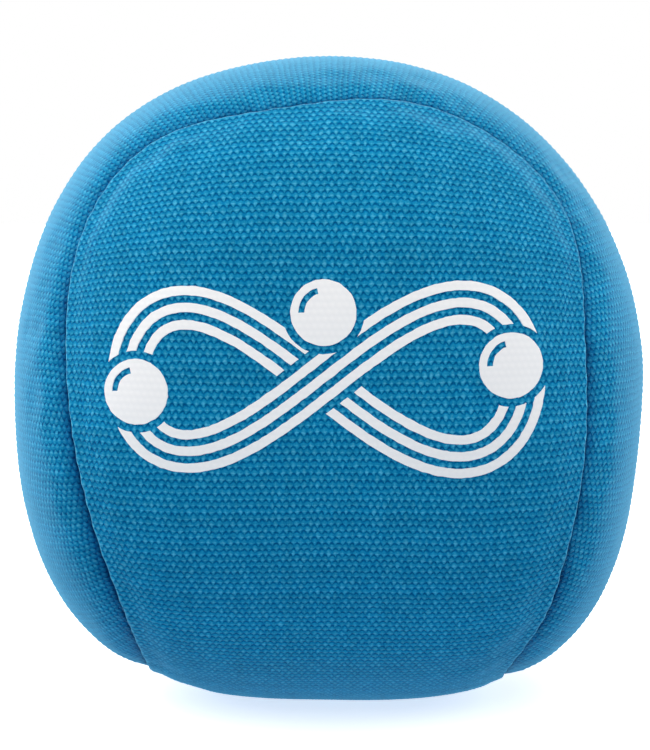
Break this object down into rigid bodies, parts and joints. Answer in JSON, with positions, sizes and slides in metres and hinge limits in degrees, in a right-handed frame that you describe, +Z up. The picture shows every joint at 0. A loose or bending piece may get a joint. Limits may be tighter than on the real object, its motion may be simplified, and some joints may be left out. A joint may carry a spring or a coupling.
{
  "type": "juggling ball",
  "caption": "Stuffed canvas juggling ball sewn from two interlocking dog-bone panels, with a printed front and a slightly flattened base.",
  "frame": {"origin": "middle of the flat patch that the ball rests on, below the middle of its box", "axes": "+Z up, towards the plain panel's neck over the crown; -Y is the printed front; +X is to the right of the print"},
  "size_m": [0.0684, 0.0702, 0.0707],
  "materials": {
    "canvas": "plain-weave cotton canvas, blue",
    "machine_thread": "polyester sewing thread, blue",
    "hand_thread": "waxed sewing thread, blue",
    "white_ink": "matte white screen print",
    "liner_cloth": "undyed cotton lining",
    "liner_thread": "undyed cotton thread",
    "fill": "loose small round granules"
  },
  "bodies": {
    "root": {"cover_panel_printed": "canvas", "cover_panel_plain": "canvas", "seam_needle_thread": "machine_thread", "seam_bobbin_thread": "machine_thread", "closing_ladder_stitch": "hand_thread", "emblem_print": "white_ink", "liner_upper_disc": "liner_cloth", "liner_lower_disc": "liner_cloth", "liner_seam_thread": "liner_thread", "fill_granules": "fill"}
  },
  "joints": []
}
